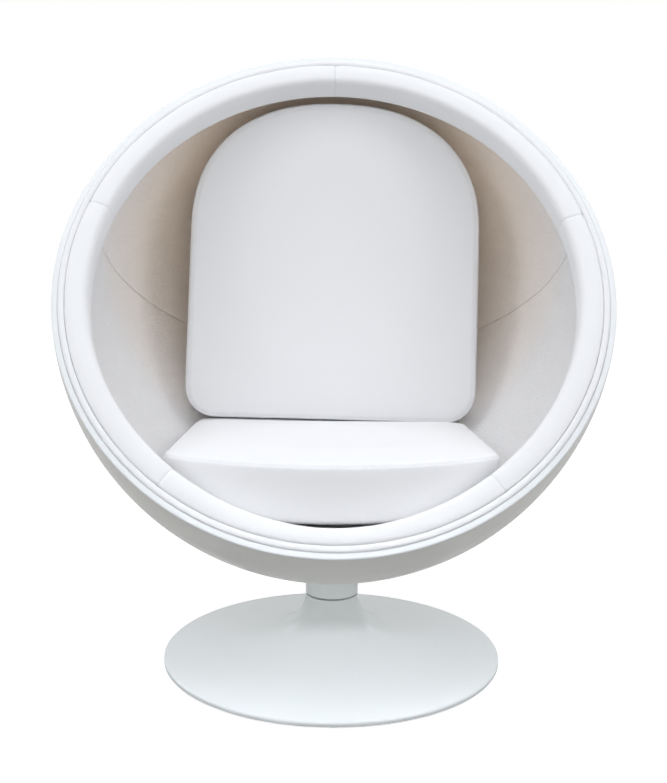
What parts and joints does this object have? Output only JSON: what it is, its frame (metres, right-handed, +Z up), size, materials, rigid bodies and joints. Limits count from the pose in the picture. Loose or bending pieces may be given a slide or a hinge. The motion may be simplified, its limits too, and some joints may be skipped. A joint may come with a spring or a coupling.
{
  "type": "pod chair",
  "caption": "Ball-shaped swivel lounge chair: glossy open pod with a padded lining, rim pad, seat and back cushions, turning on a round trumpet-shaped pedestal.",
  "frame": {"origin": "on the floor under the swivel axis, at the centre of the pedestal's felt", "axes": "+Z up along the swivel axis; the pod's opening faces -Y at rest; +X to the right as seen from in front"},
  "size_m": [1.1, 0.9098, 1.2335],
  "materials": {
    "shell_gelcoat": "high-gloss white gelcoat",
    "pedestal_lacquer": "high-gloss white lacquer",
    "wool_cloth": "white plain-woven wool upholstery cloth",
    "birch_plywood": "raw birch plywood",
    "black_steel": "matt black powder coat",
    "bright_steel": "bright turned steel",
    "nylon": "natural nylon",
    "floor_felt": "pressed grey felt"
  },
  "bodies": {
    "base": {"pedestal": "pedestal_lacquer", "base_felt": "floor_felt", "foot_plate": "black_steel", "column_tube": "black_steel", "upper_bushing": "nylon", "lower_bushing": "nylon", "lower_race": "bright_steel", "base_screw_1": "bright_steel", "base_screw_2": "bright_steel", "base_screw_3": "bright_steel", "base_screw_4": "bright_steel", "base_screw_5": "bright_steel", "base_screw_6": "bright_steel"},
    "roller_cage": {"roller_cage": "bright_steel"},
    "pod": {"collar": "pedestal_lacquer", "swivel_plate": "black_steel", "spindle": "bright_steel", "backing_plate": "black_steel", "upper_race": "bright_steel", "retaining_washer": "bright_steel", "retaining_screw": "bright_steel", "swivel_bolt_1": "bright_steel", "swivel_bolt_2": "bright_steel", "swivel_bolt_3": "bright_steel", "swivel_bolt_4": "bright_steel", "shell": "shell_gelcoat", "lining_upper": "wool_cloth", "lining_lower": "wool_cloth", "tack_ring": "birch_plywood", "piping": "wool_cloth", "rim_pad_upper_right": "wool_cloth", "rim_pad_side_right": "wool_cloth", "rim_pad_bottom": "wool_cloth", "rim_pad_side_left": "wool_cloth", "rim_pad_upper_left": "wool_cloth", "seat_cushion": "wool_cloth", "back_cushion": "wool_cloth"}
  },
  "joints": [
    {"name": "swivel", "type": "hinge", "parent": "base", "child": "pod", "pos_m": [0, 0, 0.151], "axis": [0, 0, 1], "continuous": true},
    {"name": "cage_turn", "type": "hinge", "parent": "base", "child": "roller_cage", "pos_m": [0, 0, 0.151], "axis": [0, 0, 1], "continuous": true}
  ],
  "couplings": [
    {"joint": "cage_turn", "follows": "swivel", "ratio": 0.5}
  ]
}
